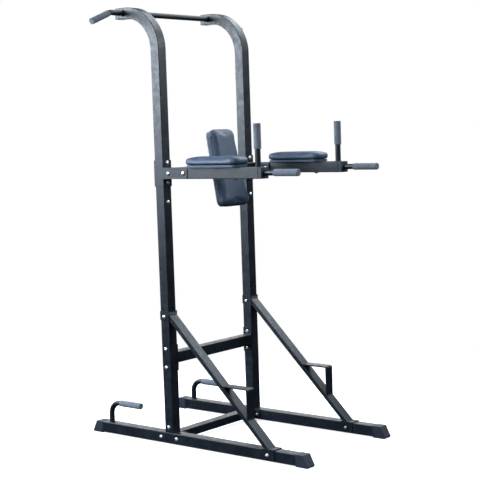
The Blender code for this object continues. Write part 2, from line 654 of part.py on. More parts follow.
def back_rest():
    bar_y = UPRIGHT_Y - BACK_BAR_AHEAD
    plate_middle = UPRIGHT_Y - sum(ARM_BOLTS) / 2
    end_x = UPRIGHT_SPACING / 2 - SLEEVE_OUT - FIT
    crossbar("back_crossbar", bar_y, ARM_Z, BACK_BAR_DEPTH / 2, BACK_BAR_HEIGHT / 2, end_x,
             (plate_middle - BACK_PLATE_LENGTH / 2, ARM_Z - HALF + BACK_PLATE_INSET),
             (plate_middle + BACK_PLATE_LENGTH / 2, ARM_Z + HALF - BACK_PLATE_INSET))

    bar_front = bar_y - BACK_BAR_DEPTH / 2 - FIT
    half_wide = BACK_BRACKET_WIDTH / 2
    half_high = BACK_BRACKET_HEIGHT / 2
    bracket = leaning_slab("back_pad_bracket", rectangle(half_wide, half_high), -FIT, -FIT - PLATE,
                           FRAME_BLACK)
    ears = []
    ear_x = half_wide - EAR_INSET
    seat_y = bar_front - PLATE / 2
    seat_half = BACK_BAR_HEIGHT / 2 - EAR_INSET
    for tag, side in SIDES:
        faces = sorted((side * ear_x, side * (ear_x - PLATE)))
        top = leaning(-FIT - PLATE / 2, half_high - EAR_INSET)
        bottom = leaning(-FIT - PLATE / 2, EAR_INSET - half_high)
        outline = [(top.y, top.z), (bottom.y, bottom.z), (seat_y, ARM_Z - seat_half),
                   (seat_y, ARM_Z + seat_half)]
        ears.append(side_profile(f"back_ear_{tag}", faces[0], faces[1], outline, None))
    seat = block("back_seat", (-half_wide, bar_front - PLATE, ARM_Z - BACK_BAR_HEIGHT / 2),
                 (half_wide, bar_front, ARM_Z + BACK_BAR_HEIGHT / 2), None)
    join(bracket, *ears, seat)

    low = BACK_PAD_RISE - BACK_PAD_HEIGHT / 2
    high = BACK_PAD_RISE + BACK_PAD_HEIGHT / 2
    board = tapered(BACK_PAD_TOP - 2 * PAD_SINK, BACK_PAD_BOTTOM - 2 * PAD_SINK, low + PAD_SINK,
                    high - PAD_SINK, BACK_CORNER - PAD_SINK, 4)
    leaning_slab("back_pad_board", board, 0, PAD_BOARD, PAD_PLYWOOD)
    cushion = tapered(BACK_PAD_TOP, BACK_PAD_BOTTOM, low, high, BACK_CORNER, 5)
    pad = leaning_slab("back_pad", cushion, PAD_BOARD + FIT, PAD_BOARD + FIT + BACK_PAD_THICK, PAD_VINYL)
    soften(pad, CUSHION_EDGE)


# ---------------------------------------------------------------- handles
def pull_up_bar():
    tip_x = BAR_WIDTH / 2
    tip_z = HOOK_Z - (tip_x - BAR_BEND_X) * tan(BAR_DROOP)
    short = GRIP_END + FIT
    end_x = tip_x - short * cos(BAR_DROOP)
    end_z = tip_z + short * sin(BAR_DROOP)
    path = bent_path([(-end_x, BAR_Y, end_z), (-BAR_BEND_X, BAR_Y, HOOK_Z),
                      (BAR_BEND_X, BAR_Y, HOOK_Z), (end_x, BAR_Y, end_z)], BAR_BEND_RADIUS)
    sweep("pull_up_bar", path, ROD_OUT, ROD_IN, FRAME_BLACK)
    bend_end = BAR_BEND_RADIUS * tan(BAR_DROOP / 2) * cos(BAR_DROOP) + 0.001
    length = (tip_x - BAR_BEND_X - bend_end) / cos(BAR_DROOP)
    for tag, side in SIDES:
        base_x = BAR_BEND_X + bend_end
        base_z = HOOK_Z - bend_end * tan(BAR_DROOP)
        closed_grip(f"pull_up_grip_{tag}", (side * base_x, BAR_Y, base_z),
                    (side * cos(BAR_DROOP), 0, -sin(BAR_DROOP)), BAR_FOAM, length)


def push_up_handle(tag, side):
    x = side * UPRIGHT_SPACING / 2
    post_y = UPRIGHT_Y + PUSH_BEHIND
    grip_z = RAIL_TOP + PUSH_RISE
    front = UPRIGHT_Y + PUSH_REACH
    path = bent_path([(x, post_y, RAIL_CLEARANCE + WALL + FIT), (x, post_y, grip_z),
                      (x, front + GRIP_END + FIT, grip_z)], PUSH_BEND)
    sweep(f"push_up_handle_{tag}", path, ROD_OUT, ROD_IN, FRAME_BLACK)
    closed_grip(f"push_up_grip_{tag}", (x, front + PUSH_GRIP_LENGTH, grip_z), (0, -1, 0), PUSH_FOAM,
                PUSH_GRIP_LENGTH)


# ---------------------------------------------------------------- fasteners
def bolts(tag, side):
    """The single bolts: heads on the outside, or in front where they run front to back."""
    x = side * UPRIGHT_SPACING / 2
    inward = (-side, 0, 0)
    outer = x + side * HALF
    bolt(f"foot_bolt_{tag}", (outer, UPRIGHT_Y, RAIL_TOP + STUB_BOLT), inward, TUBE)
    bracket_outer = x + side * SLEEVE_OUT
    bolt(f"brace_bolt_{tag}", (bracket_outer, UPRIGHT_Y, BRACE_BOLT_Z), inward, 2 * SLEEVE_OUT)
    bolt(f"saddle_bolt_{tag}", (bracket_outer, UPRIGHT_Y - SADDLE_BOLT, RAIL_Z), inward, 2 * SLEEVE_OUT)
    bolt(f"joiner_bolt_{tag}", (x, UPRIGHT_Y - HALF, JOINER_BOLT_Z), (0, 1, 0), TUBE)


clear_scene()
ROOT = bpy.data.objects.new("power_tower", None)
bpy.context.scene.collection.objects.link(ROOT)
base()
for side_tag, side_sign in SIDES:
    uprights(side_tag, side_sign)
    brace(side_tag, side_sign)
    step(side_tag, side_sign)
    arm(side_tag, side_sign)
    push_up_handle(side_tag, side_sign)
    bolts(side_tag, side_sign)
back_rest()
pull_up_bar()
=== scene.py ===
"""Looks of the power tower: finishes, cushions, round tubes, grips, fasteners and welds.

Metres, +Z up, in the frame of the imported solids.  -Y is the front, -X the left side.
"""

from math import cos, pi, radians, sin, tan

import bpy
from mathutils import Matrix, Vector


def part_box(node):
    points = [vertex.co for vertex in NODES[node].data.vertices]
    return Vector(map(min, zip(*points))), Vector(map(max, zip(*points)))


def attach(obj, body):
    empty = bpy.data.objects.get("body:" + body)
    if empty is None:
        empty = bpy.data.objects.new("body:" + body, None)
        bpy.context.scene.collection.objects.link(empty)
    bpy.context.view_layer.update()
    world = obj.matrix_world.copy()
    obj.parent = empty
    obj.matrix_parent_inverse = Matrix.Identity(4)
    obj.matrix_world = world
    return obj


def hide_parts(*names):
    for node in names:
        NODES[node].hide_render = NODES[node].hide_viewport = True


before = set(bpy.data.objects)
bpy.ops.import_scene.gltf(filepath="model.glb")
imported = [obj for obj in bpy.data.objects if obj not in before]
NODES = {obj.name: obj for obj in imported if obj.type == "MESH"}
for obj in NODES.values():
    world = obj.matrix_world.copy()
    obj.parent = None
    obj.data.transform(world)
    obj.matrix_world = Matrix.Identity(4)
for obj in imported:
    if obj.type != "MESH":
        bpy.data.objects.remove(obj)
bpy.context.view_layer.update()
SIDES = (("l", -1), ("r", 1))
MM = 0.001


# ---------------------------------------------------------------- places, from the solids
def middle(node):
    low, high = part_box(node)
    return (Vector(low) + Vector(high)) / 2


def low(node):
    return Vector(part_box(node)[0])


def high(node):
    return Vector(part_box(node)[1])


SIDE_X = middle("lower_upright_r").x          # uprights' centre, right of the middle
UPRIGHT_Y = middle("lower_upright_r").y
HALF = (high("lower_upright_r").x - low("lower_upright_r").x) / 2
SLEEVE_OUT = (high("arm_bracket_r").x - low("arm_bracket_r").x) / 2
RAIL_TOP = low("lower_upright_r").z
RAIL_Z = low("floor_rail_r").z + HALF
ARM_Z = middle("arm_tube_r").z
HOOK_Z = high("upper_upright_r").z - HALF
BAR_Y = middle("pull_up_bar").y
POST_Y = middle("handle_post_r").y
PUSH_Y = high("push_up_handle_r").y

ROD = 12.5 * MM                                # radius of the round tubes
CORNER = 3 * MM                                # of the square tube
HOOK_RADIUS = 175 * MM
BAR_BEND_X = 405 * MM
BAR_BEND_RADIUS = 60 * MM
BAR_DROOP = radians(21)
PUSH_BEND = 55 * MM
END_PLATE = 4 * MM
BACK_BAR_DEPTH = 38 * MM
GRIP_EDGE = 3 * MM                             # rounded rim of a grip's closed end
BACK_LEAN = radians(12.3)
BACK_AHEAD = Vector((0, -cos(BACK_LEAN), sin(BACK_LEAN)))   # square to the leaning back rest
BACK_UP = Vector((0, sin(BACK_LEAN), cos(BACK_LEAN)))
ROUND = 48                                     # sides of the round pieces

GRIP_PAST_BEND = 1 * MM                        # from the pull-up bar's bend to its grip
UPRIGHT_START = 0.3 * MM                       # upper upright's lower end, above the arm's middle
MERGE = 0.01 * MM                              # corners closer than this become one

HEAD = 9.75 * MM                               # bolts: radius and height of the dome
DOME = 6 * MM
HEAD_RIM = 1.4 * MM                            # straight rim under the dome
WASHER = 1.2 * MM
FLOOR_BAR_BOLTS = (("rear", 51 * MM), ("front", -45 * MM))       # behind the upright's centre
MID_BAR_BOLTS = (("upper", 42.5 * MM), ("lower", -42.5 * MM))    # above the bar's middle
SLEEVE_BOLTS = (("upper", 47 * MM), ("lower", -42 * MM))         # above the arm's middle
ARM_BOLTS = (("rear", 59 * MM), ("front", 149 * MM))             # ahead of the upright's centre
PAD_BOLT_AHEAD = 426 * MM
BACK_BOLT_SIDE = 25 * MM                       # each side of the middle

BEAD = 2.3 * MM                                # radius of a weld bead
RIPPLE = 2.4 * MM                              # from one of its rings to the next
SWELL = 1.28                                   # how much wider every second ring is
WELD_SHORT = 2 * MM                            # a weld ends this far inside the tube's sides
WELD_OUT = 1 * MM                              # its centre, from the tube or edge it follows
FLOOR_BAR_HEIGHT = 38 * MM
BRACE_WELD_Z = 604 * MM

HEM = 14 * MM                                  # vinyl turned in behind a board
HEM_THICKNESS = 0.6 * MM
STAPLE_INSET = 7 * MM                          # staples: from the board's edge
STAPLE_END = 30 * MM                           # from its corner to the first one
STAPLE_PITCH = 34 * MM
STAPLE_SIZE = (10 * MM, 1.2 * MM, 0.9 * MM)

SHRINK = 0.985                                 # cushions: a solid, before it is inflated
VOXEL = 5 * MM
HELD = 4 * MM                                  # depth that the board keeps from swelling
PRESSURE = 4.0
CLOTH_STEPS = 20
PUFF_LIMIT = 7 * MM                            # furthest that the cloth may move
CROWN = 3 * MM                                 # height of the middle above the solid

PAPER_GLOW = 0.62                              # keeps the floor pale under a dim light
FADE_START, FADE_END = 0.9, 1.9                # metres from the middle, where it turns white
COOL, WHITE = (0.80, 0.90, 1.0), (1.0, 1.0, 1.0)
LIGHTS = (                                     # name, place, watts, size, height aimed at, tint
    ("left_rear_key", (-3.4, 2.7, 2.7), 330, (2.8, 2.8), 1.6, COOL),
    ("right_high", (3.0, 0.2, 4.0), 120, (2.8, 2.8), 1.0, COOL),
    ("front_fill", (2.2, -3.4, 3.1), 95, (2.2, 2.2), 1.6, COOL),
    ("rear_fill", (0.8, 4.2, 2.6), 100, (2.4, 2.0), 1.2, COOL),
    ("left_fill", (-3.8, -1.8, 3.0), 60, (2.0, 2.0), 1.2, COOL),
    ("rear_sweep", (3.6, 3.0, 1.0), 42, (4.4, 1.8), 0.8, WHITE),
)


# ---------------------------------------------------------------- materials
def linear(code):
    """An sRGB hex colour as linear RGBA."""
    values = [int(code[i:i + 2], 16) / 255 for i in (1, 3, 5)]
    return [v / 12.92 if v <= 0.04045 else ((v + 0.055) / 1.055) ** 2.4 for v in values] + [1.0]


def add(tree, kind, inputs, **settings):
    """Adds a node; each input is a value or the socket that feeds it."""
    made = tree.nodes.new("ShaderNode" + kind)
    for name, value in settings.items():
        setattr(made, name, value)
    for name, value in inputs.items():
        if isinstance(value, bpy.types.NodeSocket):
            tree.links.new(value, made.inputs[name])
        else:
            made.inputs[name].default_value = value
    return made


def new_material(name, roughness, metallic=0.0):
    """Gives the material, its nodes, its shader, and the place on the object in metres."""
    made = bpy.data.materials.new(name)
    made.use_nodes = True
    shader = made.node_tree.nodes["Principled BSDF"]
    shader.inputs["Roughness"].default_value = roughness
    shader.inputs["Metallic"].default_value = metallic
    return made, made.node_tree, shader, add(made.node_tree, "TexCoord", {}).outputs["Object"]


def noise(tree, place, size, detail=3.0):
    """Noise whose blobs are about size across, in metres."""
    return add(tree, "TexNoise", {"Vector": place, "Scale": 1 / size, "Detail": detail})


def between(tree, factor, low_value, high_value, start=0.35, end=0.65):
    """Spreads a pattern between two values."""
    return add(tree, "MapRange", {"Value": factor, "From Min": start, "From Max": end,
                                  "To Min": low_value, "To Max": high_value}).outputs["Result"]


def mixed(tree, factor, first, second):
    made = add(tree, "Mix", {"Factor": factor}, data_type="RGBA")
    for socket, value in ((made.inputs[6], first), (made.inputs[7], second)):
        if isinstance(value, bpy.types.NodeSocket):
            tree.links.new(value, socket)
        else:
            socket.default_value = linear(value)
    return made.outputs[2]


def coloured(tree, shader, factor, first, second):
    """The shader's colour wanders between two, as a pattern says."""
    tree.links.new(mixed(tree, between(tree, factor, 0.0, 1.0), first, second),
                   shader.inputs["Base Color"])


def bumped(tree, shader, height, strength, depth, under=None):
    inputs = {"Height": height, "Strength": strength, "Distance": depth}
    if under is not None:
        inputs["Normal"] = under
    made = add(tree, "Bump", inputs).outputs["Normal"]
    tree.links.new(made, shader.inputs["Normal"])
    return made


def powder_coat():
    """Satin black powder coat, baked on steel: a soft sheen over very fine orange peel."""
    made, tree, shader, place = new_material("satin_black_powder_coat", 0.38)
    cloud = noise(tree, place, 90 * MM).outputs["Fac"]
    smear = noise(tree, place, 22 * MM, 4.0).outputs["Fac"]
    peel = noise(tree, place, 1.6 * MM, 2.0).outputs["Fac"]       # about 1 mm, drawn coarser
    grit = noise(tree, place, 5 * MM, 6.0).outputs["Fac"]
    coat = mixed(tree, between(tree, cloud, 0.0, 1.0), "#0d151e", "#131d28")
    dust = mixed(tree, between(tree, grit, 0.0, 0.25, 0.58, 0.75), coat, "#34414f")
    tree.links.new(dust, shader.inputs["Base Color"])
    tree.links.new(between(tree, smear, 0.31, 0.44), shader.inputs["Roughness"])
    bumped(tree, shader, peel, 0.22, 0.25 * MM)
    return made


def weld_metal():
    """Powder coat over a weld: the same black, rougher, with the puddle's own small dips."""
    made, tree, shader, place = new_material("powder_coated_weld", 0.45)
    spatter = noise(tree, place, 3 * MM, 4.0).outputs["Fac"]
    coloured(tree, shader, spatter, "#0d141b", "#202a33")
    bumped(tree, shader, spatter, 0.5, 0.6 * MM)
    return made


def zinc():
    """Bright zinc plating on steel: a clean grey shine, with faint clouding and fine scratches."""
    made, tree, shader, place = new_material("bright_zinc_plating", 0.40, 1.0)
    cloud = noise(tree, place, 5 * MM).outputs["Fac"]
    scratch = noise(tree, place, 1.0 * MM, 5.0).outputs["Fac"]
    coloured(tree, shader, cloud, "#e6e9ec", "#fafbfc")
    tree.links.new(between(tree, scratch, 0.34, 0.50), shader.inputs["Roughness"])
    bumped(tree, shader, scratch, 0.12, 0.1 * MM)
    return made


def moulded_plastic(name, dark, pale):
    """Injection-moulded polyethylene: matte, with an even spark-eroded grain."""
    made, tree, shader, place = new_material(name, 0.55)
    cloud = noise(tree, place, 30 * MM).outputs["Fac"]
    grain = noise(tree, place, 1.2 * MM, 4.0).outputs["Fac"]      # about 0.4 mm, drawn coarser
    coloured(tree, shader, cloud, dark, pale)
    tree.links.new(between(tree, grain, 0.46, 0.62), shader.inputs["Roughness"])
    bumped(tree, shader, grain, 0.3, 0.3 * MM)
    return made


def foam():
    """Closed-cell rubber foam: dull slate grey, with small pores darkened by painted shade, and
    rubbed paler patches.
    """
    made, tree, shader, place = new_material("closed_cell_foam", 0.85)
    rubbed = noise(tree, place, 28 * MM, 4.0).outputs["Fac"]
    pores = add(tree, "TexVoronoi", {"Vector": place, "Scale": 1 / (1.7 * MM)}).outputs["Distance"]
    skin = mixed(tree, between(tree, rubbed, 0.0, 1.0), "#626a74", "#727a84")
    # painted shade: the pores are coloured darker (#454b53)
    tree.links.new(mixed(tree, between(tree, pores, 0.35, 0.0, 0.0, 0.5), skin, "#454b53"),
                   shader.inputs["Base Color"])
    shader.inputs["Sheen Weight"].default_value = 0.15
    bumped(tree, shader, pores, 0.35, 0.4 * MM)
    return made


def vinyl():
    """Upholstery vinyl: dark blue-grey, pebbled like hide, with painted shade in the creases
    between pebbles and a soft plastic sheen.
    """
    made, tree, shader, place = new_material("pebbled_vinyl", 0.45)
    wander = noise(tree, place, 9 * MM, 2.0).outputs["Color"]
    bent = add(tree, "VectorMath", {0: wander, 1: (3 * MM,) * 3}, operation="MULTIPLY").outputs[0]
    warped = add(tree, "VectorMath", {0: place, 1: bent}, operation="ADD").outputs[0]
    pebble = add(tree, "TexVoronoi", {"Vector": warped, "Scale": 1 / (2.2 * MM)},
                 feature="DISTANCE_TO_EDGE").outputs["Distance"]  # about 1.2 mm, drawn coarser
    crease = between(tree, pebble, 0.0, 1.0, 0.0, 0.18)
    cloud = noise(tree, place, 60 * MM).outputs["Fac"]
    hide = mixed(tree, between(tree, cloud, 0.0, 1.0), "#42536a", "#52667f")
    # painted shade: the creases between the pebbles are coloured darker (#2b3a4d)
    tree.links.new(mixed(tree, crease, "#2b3a4d", hide), shader.inputs["Base Color"])
    tree.links.new(between(tree, cloud, 0.40, 0.52), shader.inputs["Roughness"])
    dimple = noise(tree, place, 45 * MM, 1.0).outputs["Fac"]
    soft = bumped(tree, shader, dimple, 0.35, 3 * MM)
    bumped(tree, shader, crease, 0.4, 0.25 * MM, soft)
    return made


def plywood():
    """Black-stained plywood: open grain along the board, with a dry dull surface."""
    made, tree, shader, place = new_material("stained_plywood", 0.8)
    along = add(tree, "Mapping", {"Vector": place, "Scale": (1.0, 0.08, 0.08)}).outputs["Vector"]
    grain = noise(tree, along, 2.5 * MM, 6.0).outputs["Fac"]
    coloured(tree, shader, grain, "#100f0e", "#1e1b19")
    bumped(tree, shader, grain, 0.4, 0.3 * MM)
    return made


def wire():
    """Galvanised staple wire: thin, bright and slightly dulled."""
    made, tree, shader, place = new_material("galvanised_wire", 0.35, 1.0)
    dull = noise(tree, place, 4 * MM).outputs["Fac"]
    coloured(tree, shader, dull, "#9a9da0", "#c9ccce")
    return made


COAT = powder_coat()
WELD = weld_metal()
ZINC = zinc()
FOOT_PLASTIC = moulded_plastic("slate_moulded_plastic", "#1a2531", "#24303d")
END_PLASTIC = moulded_plastic("grey_moulded_plastic", "#56606b", "#68727d")
FOAM = foam()
VINYL = vinyl()
BOARD = plywood()
WIRE = wire()


# ---------------------------------------------------------------- making pieces
def deselect():
    if bpy.context.object and bpy.context.object.mode != "OBJECT":
        bpy.ops.object.mode_set(mode="OBJECT")
    bpy.ops.object.select_all(action="DESELECT")


def use(piece):
    deselect()
    piece.select_set(True)
    bpy.context.view_layer.objects.active = piece


def edit(piece, kind="FACE"):
    use(piece)
    bpy.ops.object.mode_set(mode="EDIT")
    bpy.ops.mesh.select_mode(type=kind)
    bpy.ops.mesh.select_all(action="SELECT")


def pick(piece, kind, wanted):
    """Selects, in edit mode, the faces or edges that wanted() says yes to."""
    bpy.ops.mesh.select_all(action="DESELECT")
    bpy.ops.object.mode_set(mode="OBJECT")
    mesh = piece.data
    if kind == "FACE":
        for face in mesh.polygons:
            face.select = wanted(face.center, face.normal)
    else:
        for edge in mesh.edges:
            first, second = (mesh.vertices[i].co for i in edge.vertices)
            edge.select = wanted(first, second)
    bpy.ops.object.mode_set(mode="EDIT")
    bpy.ops.mesh.select_mode(type=kind)


def extrude(x, y, z):
    bpy.ops.mesh.extrude_region_move(TRANSFORM_OT_translate={"value": (x, y, z)})


def done():
    bpy.ops.object.mode_set(mode="OBJECT")


def modify(piece, kind, **settings):
    use(piece)
    change = piece.modifiers.new(kind.lower(), kind)
    for name, value in settings.items():
        setattr(change, name, value)
    bpy.ops.object.modifier_apply(modifier=change.name)


def settle(piece):
    """Puts the piece's place into its mesh, and turns its faces outwards."""
    use(piece)
    bpy.ops.object.transform_apply(location=True, rotation=True, scale=True)
    edit(piece)
    bpy.ops.mesh.remove_doubles(threshold=0.02 * MM)
    bpy.ops.mesh.select_all(action="SELECT")
    bpy.ops.mesh.normals_make_consistent(inside=False)
    done()


def finish_piece(piece, name, material, nodes=(), angle=40):
    piece.name = name
    piece.data.name = name
    use(piece)
    bpy.ops.object.shade_smooth_by_angle(angle=radians(angle))
    modify(piece, "WEIGHTED_NORMAL", keep_sharp=True, weight=100)     # flat faces stay flat
    piece.data.materials.clear()
    piece.data.materials.append(material)
    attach(piece, "root")
    if nodes:
        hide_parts(*nodes)
    return piece


def join_all(pieces):
    deselect()
    for piece in pieces:
        piece.select_set(True)
    bpy.context.view_layer.objects.active = pieces[0]
    if len(pieces) > 1:
        bpy.ops.object.join()
    return pieces[0]


def copy_of(source):
    made = source.copy()
    made.data = source.data.copy()
    for key in list(made.keys()):
        del made[key]
    made.parent = None
    bpy.context.scene.collection.objects.link(made)
    return made


def aim(piece, place, direction):
    """Moves a piece modelled round the origin, along +Z, to a place and direction."""
    turn = Vector(direction).to_track_quat("Z", "Y").to_matrix().to_4x4()
    piece.matrix_world = Matrix.Translation(place) @ turn
    use(piece)
    bpy.ops.object.transform_apply(location=True, rotation=True, scale=True)


# ---------------------------------------------------------------- steel and moulded pieces
def refined(node, material, edge, name=None):
    """A clean copy of a solid: its triangles merged into faces and its edges rolled over."""
    piece = copy_of(NODES[node])
    edit(piece, "VERT")
    bpy.ops.mesh.remove_doubles(threshold=MERGE)
    bpy.ops.mesh.select_all(action="SELECT")
    bpy.ops.mesh.dissolve_limited(angle_limit=radians(1))
    done()
    modify(piece, "BEVEL", width=edge, segments=2, limit_method="ANGLE", angle_limit=radians(60))
    return finish_piece(piece, name or f"{node}_steel", material, (node,), 50)


def wrapped_board(node, name, behind):
    """A plywood board: vinyl is pulled over its edge, and the wood shows behind."""
    piece = refined(node, VINYL, 0.8 * MM, name)
    piece.data.materials.append(BOARD)
    edit(piece)
    pick(piece, "FACE", lambda centre, normal: normal.dot(behind) > 0.95)
    bpy.ops.mesh.inset(thickness=HEM, depth=-HEM_THICKNESS)
    piece.active_material_index = 1
    bpy.ops.object.material_slot_assign()
    done()


def hooked_upright(tag, side):
    """Square tube bent back at the top, with a smooth bend."""
    x = side * SIDE_X
    bottom = ARM_Z + UPRIGHT_START
    bend_z = HOOK_Z - HOOK_RADIUS
    bpy.ops.mesh.primitive_plane_add(size=2 * HALF, location=(x, UPRIGHT_Y, bottom))
    piece = bpy.context.object
    edit(piece, "VERT")
    bpy.ops.mesh.bevel(affect="VERTICES", offset=CORNER, segments=5)
    bpy.ops.mesh.select_all(action="SELECT")
    extrude(0, 0, bend_z - bottom)
    bpy.ops.mesh.spin(steps=32, angle=pi / 2, center=(x, UPRIGHT_Y + HOOK_RADIUS, bend_z),
                      axis=(1, 0, 0))
    reach = high(f"upper_upright_{tag}").y - UPRIGHT_Y - HOOK_RADIUS
    extrude(0, reach, 0)
    done()
    settle(piece)
    finish_piece(piece, f"hooked_upright_{tag}", COAT, (f"upper_upright_{tag}",),
                 30)


def disc(radius, place, direction):
    bpy.ops.mesh.primitive_circle_add(vertices=ROUND, radius=radius, fill_type="NGON")
    piece = bpy.context.object
    aim(piece, place, direction)
    return piece


def rod(name, start, end, nodes):
    """Straight round tube, its edges rolled over at both ends."""
    start, end = Vector(start), Vector(end)
    piece = disc(ROD, start, end - start)
    edit(piece)
    extrude(*(end - start))
    done()
    settle(piece)
    modify(piece, "BEVEL", width=0.6 * MM, segments=2, limit_method="ANGLE",
           angle_limit=radians(60))
    finish_piece(piece, name, COAT, nodes)


def push_up_tube(tag, side):
    x = side * SIDE_X
    bottom = low(f"push_up_handle_{tag}").z
    post_y = PUSH_Y - ROD
    grip_z = high(f"push_up_handle_{tag}").z - ROD
    piece = disc(ROD, (x, post_y, bottom), (0, 0, 1))
    edit(piece)
    rise = grip_z - PUSH_BEND - bottom
    extrude(0, 0, rise)
    bpy.ops.mesh.spin(steps=20, angle=-pi / 2, axis=(1, 0, 0),
                      center=(x, post_y - PUSH_BEND, grip_z - PUSH_BEND))
    reach = low(f"push_up_handle_{tag}").y - (post_y - PUSH_BEND)
    extrude(0, reach, 0)
    done()
    settle(piece)
    finish_piece(piece, f"push_up_tube_{tag}", COAT, (f"push_up_handle_{tag}",))


def grip(node, base, direction, radius, length):
    """Foam sleeve: a rolled open mouth round the tube, and a soft closed end with a shallow rim."""
    bpy.ops.mesh.primitive_cylinder_add(vertices=ROUND, radius=radius, depth=length,
                                        location=(0, 0, length / 2))
    piece = bpy.context.object
    use(piece)
    bpy.ops.object.transform_apply(location=True)
    edit(piece)
    pick(piece, "FACE", lambda centre, normal: normal.z < -0.9)
    bpy.ops.mesh.inset(thickness=radius - ROD - 0.2 * MM)
    extrude(0, 0, 2 * MM)
    pick(piece, "FACE", lambda centre, normal: normal.z > 0.9)
    bpy.ops.mesh.inset(thickness=radius * 0.35)
    extrude(0, 0, -0.7 * MM)
    bpy.ops.mesh.inset(thickness=1 * MM)
    rim = radius - 0.1 * MM
    pick(piece, "EDGE", lambda a, b: (abs(a.z - b.z) < 1e-6
                                      and a.xy.length > rim and b.xy.length > rim))
    bpy.ops.mesh.bevel(offset=2.6 * MM, segments=5, profile=0.6)
    done()
    aim(piece, base, direction)
    settle(piece)
    finish_piece(piece, f"{node}_foam", FOAM, (node,), 45)


# ---------------------------------------------------------------- fasteners
def bolt_head():
    """Domed head on a washer, modelled at the origin with its seat facing -Z."""
    bpy.ops.mesh.primitive_cylinder_add(vertices=32, radius=HEAD, depth=HEAD_RIM,
                                        location=(0, 0, HEAD_RIM / 2))
    piece = bpy.context.object
    use(piece)
    bpy.ops.object.transform_apply(location=True)
    edit(piece)
    pick(piece, "FACE", lambda centre, normal: normal.z > 0.9)
    rings = 6
    for ring in range(rings):
        start, end = ring / rings * pi / 2, (ring + 1) / rings * pi / 2
        lift = (DOME - HEAD_RIM) * (sin(end) - sin(start))
        shrink = max(cos(end), 0.06) / cos(start)     # the top stays a small flat
        extrude(0, 0, lift)
        bpy.ops.transform.resize(value=(shrink, shrink, 1))
    pick(piece, "EDGE", lambda a, b: a.z < MERGE and b.z < MERGE)
    bpy.ops.mesh.bevel(offset=0.4 * MM, segments=2)
    done()
    return piece


def bolt_nut():
    """Washer, six-sided nut with turned-down corners, nylon collar and thread end, along +Z."""
    bpy.ops.mesh.primitive_cylinder_add(vertices=32, radius=8 * MM, depth=WASHER,
                                        location=(0, 0, WASHER / 2))
    washer = bpy.context.object
    bpy.ops.mesh.primitive_cylinder_add(vertices=6, radius=7.5 * MM, depth=5.2 * MM,
                                        location=(0, 0, WASHER + 2.6 * MM))
    nut = bpy.context.object
    edit(nut)
    pick(nut, "FACE", lambda centre, normal: normal.z > 0.9)
    bpy.ops.mesh.inset(thickness=1.1 * MM)
    extrude(0, 0, 1.6 * MM)
    bpy.ops.mesh.inset(thickness=1.3 * MM)
    extrude(0, 0, -0.8 * MM)
    done()
    modify(nut, "BEVEL", width=0.4 * MM, segments=2, limit_method="ANGLE", angle_limit=radians(30))
    bpy.ops.mesh.primitive_cylinder_add(vertices=20, radius=3.9 * MM, depth=8 * MM,
                                        location=(0, 0, WASHER + 5 * MM))
    thread = bpy.context.object
    edit(thread)
    pick(thread, "FACE", lambda centre, normal: normal.z > 0.9)
    step, waist = 0.4 * MM, 0.88
    for _ in range(3):                          # the thread, drawn as rings
        extrude(0, 0, step)
        bpy.ops.transform.resize(value=(waist, waist, 1))
        extrude(0, 0, step)
        bpy.ops.transform.resize(value=(1 / waist, 1 / waist, 1))
    done()
    return join_all([nut, washer, thread])


HEAD_MODEL = bolt_head()
NUT_MODEL = bolt_nut()


def bolt(name, seat, direction, grip_length, nodes=()):
    """Head at its seat; a nut on the far side unless grip_length is None."""
    direction = Vector(direction)
    parts = [copy_of(HEAD_MODEL)]
    aim(parts[0], Vector(seat), -direction)
    if grip_length is not None:
        parts.append(copy_of(NUT_MODEL))
        aim(parts[1], Vector(seat) + direction * grip_length, direction)
    piece = join_all(parts)
    finish_piece(piece, name, ZINC, nodes, 35)


def all_bolts():
    crossbar_grip = SIDE_X + HALF - (high("floor_crossbar").x - END_PLATE)
    arm_grip = SIDE_X + SLEEVE_OUT - (high("back_crossbar").x - END_PLATE)
    back_bar_rear = high("back_pad_bracket").y + BACK_BAR_DEPTH
    for tag, side in SIDES:
        x = side * SIDE_X
        inward = Vector((-side, 0, 0))
        outer = x + side * HALF
        sleeve = x + side * SLEEVE_OUT
        bolt(f"foot_bolt_set_{tag}", (outer, UPRIGHT_Y, middle(f"foot_bolt_{tag}").z), inward,
             2 * HALF, (f"foot_bolt_{tag}",))
        bolt(f"brace_bolt_set_{tag}", (sleeve, UPRIGHT_Y, middle(f"brace_bolt_{tag}").z), inward,
             2 * SLEEVE_OUT, (f"brace_bolt_{tag}",))
        saddle = middle(f"saddle_bolt_{tag}")
        bolt(f"saddle_bolt_set_{tag}", (sleeve, saddle.y, saddle.z), inward,
             2 * SLEEVE_OUT, (f"saddle_bolt_{tag}",))
        bolt(f"joiner_bolt_set_{tag}", (x, UPRIGHT_Y - HALF, middle(f"joiner_bolt_{tag}").z),
             (0, 1, 0), 2 * HALF, (f"joiner_bolt_{tag}",))
        for where, shift in FLOOR_BAR_BOLTS:
            bolt(f"floor_bar_bolt_{where}_{tag}", (outer, UPRIGHT_Y + shift, RAIL_Z), inward,
                 crossbar_grip)
        mid_z = middle("mid_crossbar").z
        for where, shift in MID_BAR_BOLTS:
            bolt(f"mid_bar_bolt_{where}_{tag}", (outer, UPRIGHT_Y, mid_z + shift), inward,
                 crossbar_grip)
        for where, shift in SLEEVE_BOLTS:
            bolt(f"sleeve_bolt_{where}_{tag}", (x, UPRIGHT_Y - SLEEVE_OUT, ARM_Z + shift),
                 (0, 1, 0), 2 * SLEEVE_OUT)
        for where, ahead in ARM_BOLTS:
            bolt(f"arm_bolt_{where}_{tag}", (sleeve, UPRIGHT_Y - ahead, ARM_Z), inward, arm_grip)
        bolt(f"pad_bolt_{tag}", (x, UPRIGHT_Y - PAD_BOLT_AHEAD, low(f"arm_tube_{tag}").z),
             (0, 0, 1), None)
        bolt(f"back_rest_bolt_{tag}", (side * BACK_BOLT_SIDE, back_bar_rear, ARM_Z), (0, -1, 0),
             None)


